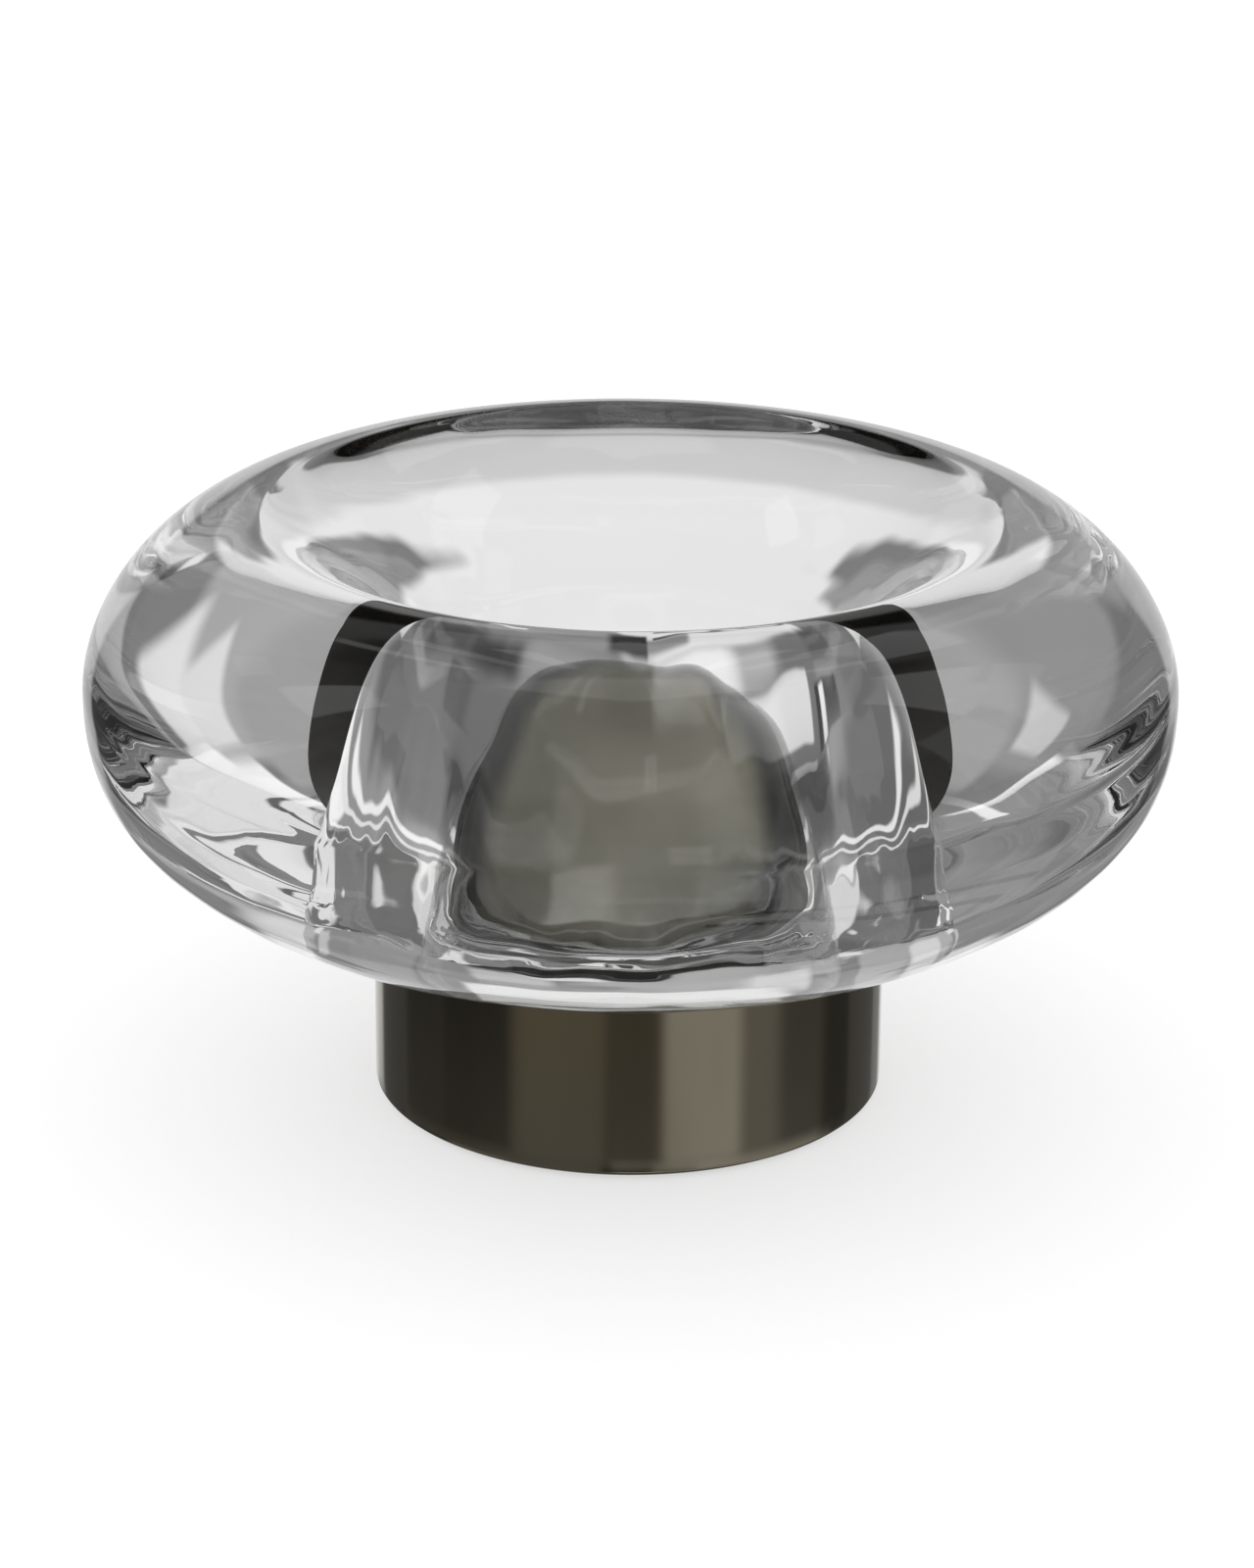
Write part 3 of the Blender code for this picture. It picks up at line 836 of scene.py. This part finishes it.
# The studio, in degrees: azimuth 0 is in front of the holder, 90 on its right and 180 behind.
# Each area is (name, azimuth, half width, lowest, highest, softness, level).
ROOM_LEVEL = 0.20
AREAS = (
    ("front wall", 0, 75, -28, 8, 2, 0.22),
    ("front upper wall", 0, 75, 8, 34, 3, 0.06),
    ("front low left", -50, 55, -60, -29, 2, 0.25),
    ("left low corner", -108, 14, -46, -30, 2, 0.08),
    ("front low right", 50, 57, -60, -27, 2, 0.78),
    ("front low gap", 19, 13, -37, -30, 2, 0.25),
    ("dark bar upper", 62, 44, -38.5, -36.5, 0.5, 0.12),
    ("dark bar lower", 62, 44, -46.0, -43.5, 0.5, 0.15),
    ("pale bar", -78, 18, -38.0, -35.0, 0.5, 0.85),
    ("camera", 0, 12, -41, -29, 2, 0.03),
    ("front bright slit", 12, 4, -7, 6, 1, 0.85),
    ("front right card", 68, 22, -14, 3, 1, 0.80),
    ("front left gap", -74, 20, -26, -15, 4, 0.05),
    ("front left strip", -29, 21, -26, -15, 5, 0.30),
    ("front middle", 4, 14, -27, -14, 4, 0.15),
    ("front right gap", 84, 30, -26, -15, 4, 0.16),
    ("front right fade", 58, 14, -26, -15, 5, 0.42),
    ("front right strip", 34, 18, -27, -14, 4, 0.88),
    ("right box", 83, 9, 10, 40, 1, 0.50),
    ("right high box", 106, 14, 40, 60, 1, 1.00),
    ("right dark gap", 104, 9, -9, 10, 1, 0.04),
    ("right slit", 101, 2, -8, 9, 1, 0.95),
    ("right upper gap", 104, 9, 10, 26, 1, 0.22),
    ("right low gap", 112, 13, -28, -14, 4, 0.08),
    ("right rear wall", 134, 15, -36, -3, 2, 0.16),
    ("right wall", 130, 20, 13, 45, 2, 0.42),
    ("right upper panel", 106, 7, 24, 41, 2, 0.84),
    ("right upper panel end", 116, 5, 31, 42, 1, 0.78),
    ("left wall", -115, 34, 12, 46, 2, 0.28),
    ("left near wall", -87, 14, -6, 34, 2, 0.18),
    ("left high box", -96, 9, 41, 57, 1, 1.10),
    ("left high panel", -117, 5, 35, 42, 1, 0.60),
    ("left dark gap", -90, 9, -12, 4, 1, 0.12),
    ("left low gap", -107, 14, -26, -14, 4, 0.07),
    ("left front gap", -68, 17, -13, 4, 3, 0.17),
    ("left rear wall", -136, 14, -44, -9, 2, 0.14),
    ("sheet apron", 180, 33, -63, -40, 3, 0.65),
    ("white sheet", 180, 31, -44, 4, 2, 0.85),
    ("sheet side right", 155, 7, -45, -20, 2, 0.32),
    ("sheet side left", -155, 7, -45, -25, 2, 0.26),
    ("sheet fold right", 163, 3, -43, -25, 2, 0.20),
    ("sheet fold left", -164, 3, -43, -26, 2, 0.18),
    ("sheet corner right", 151, 11, -49, -42, 1, 0.15),
    ("sheet corner left", -152, 11, -49, -42, 1, 0.13),
    ("bright horizon", 180, 30, -3, 7, 2, 0.95),
    ("back panel", 163, 16, 7, 34, 3, 0.45),
    ("back panel left", -158, 17, 7, 34, 3, 0.26),
    ("back panel right", 156, 9, 6, 24, 3, 0.74),
    ("back middle", 176, 10, 11, 30, 3, 0.48),
    ("back light", -172, 6, 21, 30, 2, 0.86),
    ("back left middle", -164, 5, 10, 24, 2, 0.56),
    ("rear gap", 180, 56, 36, 51, 2, 0.36),
    ("rear gap dark", 180, 20, 31, 41, 2, 0.03),
    ("rear gap middle", 180, 20, 42, 53, 2, 0.32),
    ("rear ceiling", 180, 56, 51, 67, 3, 0.14),
    ("rear ceiling right", 152, 20, 51, 67, 3, 0.32),
    ("rear right lamp", 148, 11, 45, 57, 1, 0.95),
    ("ceiling strip far right", 139, 2, 49, 66, 1, 0.95),
    ("ceiling strip right", 156, 2, 50, 66, 1, 0.85),
    ("ceiling strip near right", 165, 2, 53, 67, 1, 0.95),
    ("ceiling strip near left", -168, 2, 53, 67, 1, 0.85),
    ("ceiling strip left", -158, 2, 50, 66, 1, 0.75),
    ("ceiling strip far left", -143, 2, 49, 66, 1, 0.85),
    ("rear top gap", 180, 60, 68, 73, 2, 0.07),
    ("overhead box", 180, 60, 74, 90, 2, 0.85),
    ("rear floor", 180, 52, -79, -64, 3, 0.60),
)

# The part of the front that metal mirrors warmer, as an area without name and level, and its tone.
WARM_AREA = (-19, 34, -24, -18, 2)
WARM_TONE = (1.0, 0.87, 0.62)
# The part of the front that is pale where it is seen straight through the glass, and its level.
PALE_AREA = (0, 68, -66, 62, 8)
PALE_LEVEL = 0.80


def studio_world():
    """A world that glass and metal see as a studio, and the camera, felt and table as plain white."""
    world = bpy.data.worlds.new("studio")
    world.use_nodes = True
    bpy.context.scene.world = world
    board = Board(world.node_tree)
    # In a world this output is the direction looked in.
    toward = board.node("ShaderNodeTexCoord", out="Generated")
    x, y, z = board.split(toward)
    azimuth = board.math("ARCTAN2", x, y * -1.0) * math.degrees(1.0)
    elevation = board.math("ARCSINE", z) * math.degrees(1.0)

    def share(centre, half, lowest, highest, soft):
        """How much of a direction lies in that area, from 0 to 1."""
        aside = board.node("ShaderNodeMath", {"operation": "WRAP"},
                           {0: azimuth - centre, 1: 180.0, 2: -180.0})
        across = board.band(abs(aside), half - soft, half + soft, 1.0, 0.0)
        middle, reach = (highest + lowest) / 2.0, (highest - lowest) / 2.0
        return across * board.band(abs(elevation - middle), reach - soft, reach + soft, 1.0, 0.0)

    level = ROOM_LEVEL
    for _, *area, strength in AREAS:
        level = board.blend(share(*area), level, strength)
    kinds = board.node("ShaderNodeLightPath").socket.node.outputs
    mirrored, through = Wire(board, kinds["Is Glossy Ray"]), Wire(board, kinds["Is Transmission Ray"])
    # Light that came through the glass and met no mirror on its way.
    straight = through * (1.0 - board.math("MINIMUM", Wire(board, kinds["Glossy Depth"]), 1.0))
    level = board.blend(share(*PALE_AREA) * straight, level, PALE_LEVEL)
    tone = board.mix(share(*WARM_AREA) * (1.0 - through), (1.0, 1.0, 1.0), WARM_TONE)
    lit = board.node("ShaderNodeVectorMath", {"operation": "SCALE"}, {0: tone, "Scale": level})
    room = board.node("ShaderNodeBackground", None, {"Color": lit, "Strength": 1.0})
    plain = board.node("ShaderNodeBackground", None, {"Color": (1.0, 1.0, 1.0), "Strength": 1.0})
    light = board.node("ShaderNodeMixShader", None, {
        0: board.math("MAXIMUM", mirrored, through), 1: plain, 2: room})
    output = board.tree.nodes.new("ShaderNodeOutputWorld")
    board.tree.links.new(light.socket, output.inputs[0])


class CANDLE_OT_stage(Operator):
    """Sets the pale table, the studio light and the camera"""
    bl_idname = "candle.stage"
    bl_label = "Stage"

    def execute(self, context):
        studio = settings("studio")
        scene = context.scene
        studio_world()
        mesh = bpy.data.meshes.new("table_top")
        half, drop, glow = 3.0, -0.1 * MM, 0.6
        corners = [(-half, -half, drop), (half, -half, drop), (half, half, drop), (-half, half, drop)]
        mesh.from_pydata(corners, [], [(0, 1, 2, 3)])
        finish = Finish("table top", Roughness=0.9, Emission_Color=(1.0, 1.0, 1.0, 1.0),
                        Emission_Strength=glow)
        speck = finish.noise(finish.place, 400.0, 2.0)
        tone = tuple(studio.floor)
        finish.paint("Base Color", finish.mix(speck, tone, tuple(part * 0.99 for part in tone)))
        finish.one_sided()
        mesh.materials.append(finish.material)
        table = bpy.data.objects.new("table_top", mesh)
        scene.collection.objects.link(table)
        table.visible_glossy = False
        table.visible_transmission = False

        lens = bpy.data.cameras.new("camera")
        lens.sensor_width = 36.0
        lens.sensor_fit = "AUTO"
        lens.lens = studio.focal
        lens.shift_x = studio.shift
        lens.clip_start = 0.01
        lens.clip_end = 50.0
        camera = bpy.data.objects.new("camera", lens)
        scene.collection.objects.link(camera)
        back = Vector((0.0, -math.cos(studio.elevation), math.sin(studio.elevation)))
        camera.location = Vector((0.0, 0.0, studio.target_height)) + back * studio.distance
        aim = (-back).to_track_quat("-Z", "Y")
        camera.rotation_euler = (aim @ Quaternion((0.0, 0.0, 1.0), studio.roll)).to_euler()
        scene.camera = camera
        scene.view_settings.view_transform = "Standard"
        scene.cycles.max_bounces = 24
        scene.cycles.transmission_bounces = 24
        scene.cycles.glossy_bounces = 12
        return {"FINISHED"}


# Add-on

OPERATORS = (
    CANDLE_OT_glass_bowl,
    CANDLE_OT_bond,
    CANDLE_OT_foot_shell,
    CANDLE_OT_felt_disc,
    CANDLE_OT_ballast,
    CANDLE_OT_fasteners,
    CANDLE_OT_stage,
)
GROUPS = {
    "glass": GlassSettings,
    "foot": FootSettings,
    "hardware": HardwareSettings,
    "studio": StudioSettings,
}


class CANDLE_PT_sidebar(Panel):
    """Lists the pieces and their settings"""
    bl_idname = "CANDLE_PT_sidebar"
    bl_label = "Candle Holder"
    bl_space_type = "VIEW_3D"
    bl_region_type = "UI"
    bl_category = "Candle Holder"

    def draw(self, context):
        for operator in OPERATORS:
            self.layout.operator(operator.bl_idname)
        for name, group in GROUPS.items():
            box = self.layout.box()
            box.label(text=group.__doc__)
            for field in group.__annotations__:
                box.prop(getattr(context.scene, name), field)


def register():
    """Adds the classes and the settings."""
    for name, group in GROUPS.items():
        bpy.utils.register_class(group)
        setattr(bpy.types.Scene, name, PointerProperty(type=group))
    for operator in OPERATORS:
        bpy.utils.register_class(operator)
    bpy.utils.register_class(CANDLE_PT_sidebar)


def unregister():
    """Takes the classes and the settings away again."""
    bpy.utils.unregister_class(CANDLE_PT_sidebar)
    for operator in reversed(OPERATORS):
        bpy.utils.unregister_class(operator)
    for name, group in GROUPS.items():
        delattr(bpy.types.Scene, name)
        bpy.utils.unregister_class(group)


def main():
    """Builds every piece and the stage."""
    register()
    bpy.ops.candle.glass_bowl()
    bpy.ops.candle.bond()
    bpy.ops.candle.foot_shell()
    bpy.ops.candle.felt_disc()
    bpy.ops.candle.ballast()
    bpy.ops.candle.fasteners()
    bpy.ops.candle.stage()


if __name__ == "__main__":
    main()
